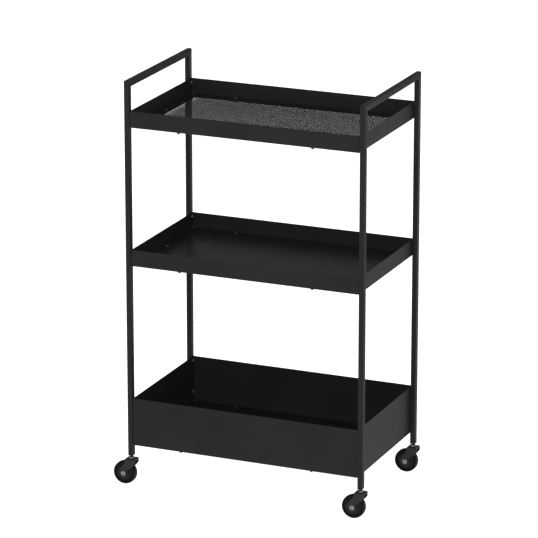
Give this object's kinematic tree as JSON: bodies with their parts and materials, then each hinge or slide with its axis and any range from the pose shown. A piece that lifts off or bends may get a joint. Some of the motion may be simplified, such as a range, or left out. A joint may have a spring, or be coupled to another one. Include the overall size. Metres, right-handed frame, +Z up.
{
  "type": "rolling pantry cart",
  "caption": "Slim black steel kitchen cart: two side frames with handles, mesh-floored top tray, shallow middle tray, deep bin, swivel casters.",
  "frame": {"origin": "on the floor, under the middle of the cart's outline with its casters trailing to -X", "axes": "+X along the long side towards the right handle, +Y from the front to the back, +Z up"},
  "size_m": [0.5434, 0.3106, 0.835],
  "materials": {
    "powder_coat": "fine-textured satin black powder coat",
    "mesh_floor": "satin black powder coat on fine expanded mesh",
    "screw_black": "satin black coated screw",
    "zinc_steel": "zinc plated",
    "fork_plastic": "moulded black plastic",
    "hub_plastic": "moulded black plastic",
    "tyre": "smooth black tread"
  },
  "bodies": {
    "cart": {"side_frame_left": "powder_coat", "side_frame_right": "powder_coat", "top_floor": "mesh_floor", "top_front_wall": "powder_coat", "top_back_wall": "powder_coat", "top_left_wall": "powder_coat", "top_right_wall": "powder_coat", "middle_floor": "powder_coat", "middle_front_wall": "powder_coat", "middle_back_wall": "powder_coat", "middle_left_wall": "powder_coat", "middle_right_wall": "powder_coat", "bin_floor": "powder_coat", "bin_front_wall": "powder_coat", "bin_back_wall": "powder_coat", "bin_left_wall": "powder_coat", "bin_right_wall": "powder_coat", "top_screw_front_left": "screw_black", "top_screw_front_right": "screw_black", "top_screw_back_left": "screw_black", "top_screw_back_right": "screw_black", "middle_screw_front_left": "screw_black", "middle_screw_front_right": "screw_black", "middle_screw_back_left": "screw_black", "middle_screw_back_right": "screw_black", "bin_screw_front_left": "screw_black", "bin_screw_front_left_lower": "screw_black", "bin_screw_front_right": "screw_black", "bin_screw_front_right_lower": "screw_black", "bin_screw_back_left": "screw_black", "bin_screw_back_left_lower": "screw_black", "bin_screw_back_right": "screw_black", "bin_screw_back_right_lower": "screw_black", "leg_socket_front_left": "fork_plastic", "leg_socket_front_right": "fork_plastic", "leg_socket_back_left": "fork_plastic", "leg_socket_back_right": "fork_plastic"},
    "caster_front_left": {"caster_stem_front_left": "zinc_steel", "caster_fork_front_left": "fork_plastic", "caster_axle_front_left": "zinc_steel"},
    "wheel_front_left": {"wheel_hub_front_left": "hub_plastic", "wheel_tyre_front_left": "tyre"},
    "caster_front_right": {"caster_stem_front_right": "zinc_steel", "caster_fork_front_right": "fork_plastic", "caster_axle_front_right": "zinc_steel"},
    "wheel_front_right": {"wheel_hub_front_right": "hub_plastic", "wheel_tyre_front_right": "tyre"},
    "caster_back_left": {"caster_stem_back_left": "zinc_steel", "caster_fork_back_left": "fork_plastic", "caster_axle_back_left": "zinc_steel"},
    "wheel_back_left": {"wheel_hub_back_left": "hub_plastic", "wheel_tyre_back_left": "tyre"},
    "caster_back_right": {"caster_stem_back_right": "zinc_steel", "caster_fork_back_right": "fork_plastic", "caster_axle_back_right": "zinc_steel"},
    "wheel_back_right": {"wheel_hub_back_right": "hub_plastic", "wheel_tyre_back_right": "tyre"}
  },
  "joints": [
    {"name": "swivel_front_left", "type": "hinge", "parent": "cart", "child": "caster_front_left", "pos_m": [-0.2335, -0.14335, 0.0575], "axis": [0, 0, 1], "continuous": true},
    {"name": "wheel_spin_front_left", "type": "hinge", "parent": "caster_front_left", "child": "wheel_front_left", "pos_m": [-0.2477, -0.14335, 0.024], "axis": [0, 1, 0], "continuous": true},
    {"name": "swivel_front_right", "type": "hinge", "parent": "cart", "child": "caster_front_right", "pos_m": [0.2612, -0.14335, 0.0575], "axis": [0, 0, 1], "continuous": true},
    {"name": "wheel_spin_front_right", "type": "hinge", "parent": "caster_front_right", "child": "wheel_front_right", "pos_m": [0.247, -0.14335, 0.024], "axis": [0, 1, 0], "continuous": true},
    {"name": "swivel_back_left", "type": "hinge", "parent": "cart", "child": "caster_back_left", "pos_m": [-0.2335, 0.14335, 0.0575], "axis": [0, 0, 1], "continuous": true},
    {"name": "wheel_spin_back_left", "type": "hinge", "parent": "caster_back_left", "child": "wheel_back_left", "pos_m": [-0.2477, 0.14335, 0.024], "axis": [0, 1, 0], "continuous": true},
    {"name": "swivel_back_right", "type": "hinge", "parent": "cart", "child": "caster_back_right", "pos_m": [0.2612, 0.14335, 0.0575], "axis": [0, 0, 1], "continuous": true},
    {"name": "wheel_spin_back_right", "type": "hinge", "parent": "caster_back_right", "child": "wheel_back_right", "pos_m": [0.247, 0.14335, 0.024], "axis": [0, 1, 0], "continuous": true}
  ]
}
